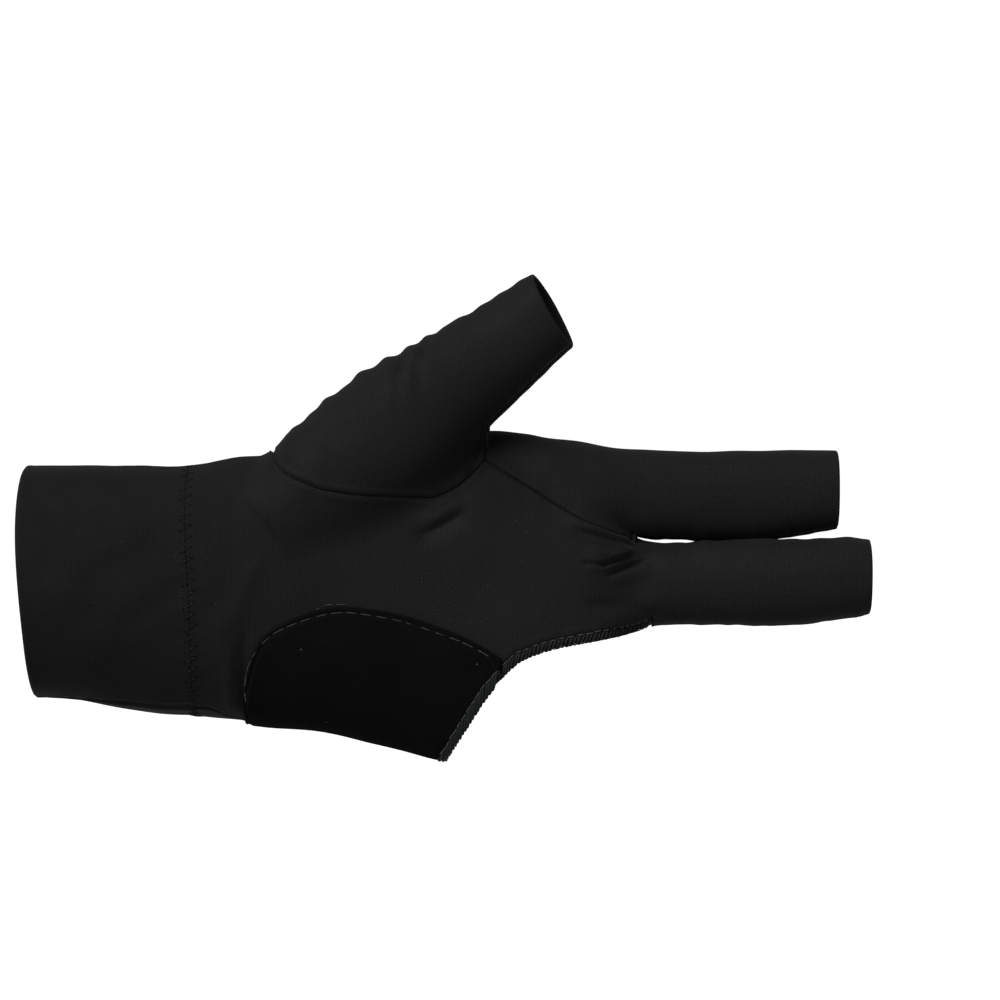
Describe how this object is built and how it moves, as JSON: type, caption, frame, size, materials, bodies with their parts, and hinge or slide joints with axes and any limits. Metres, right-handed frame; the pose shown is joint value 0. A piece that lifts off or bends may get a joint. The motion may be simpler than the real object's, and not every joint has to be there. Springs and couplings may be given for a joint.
{
  "type": "billiard glove",
  "caption": "Open-tip stretch-cloth billiard glove in its worn form, with sleeves for thumb, index and middle finger, a cut-out for the other fingers and a patch on the heel of the hand.",
  "frame": {"origin": "centre of the wrist mouth, where the glove sits on the wrist", "axes": "+X along the hand from the wrist to the fingertips, +Z towards the thumb side, palm facing -Y"},
  "size_m": [0.1942, 0.0407, 0.1115],
  "materials": {
    "cloth": "fine black stretch knit with a faint sheen",
    "patch": "matte velvet-like black pile",
    "hem": "matte overlocked thread, slightly green-black"
  },
  "bodies": {
    "root": {"cuff": "cloth", "palm_panel": "cloth", "back_panel": "cloth", "heel_patch": "patch", "index_sleeve": "cloth", "thumb_palm_half": "cloth", "thumb_back_half": "cloth", "patch_hem": "hem", "palm_hem": "hem", "back_hem": "hem"}
  },
  "joints": []
}
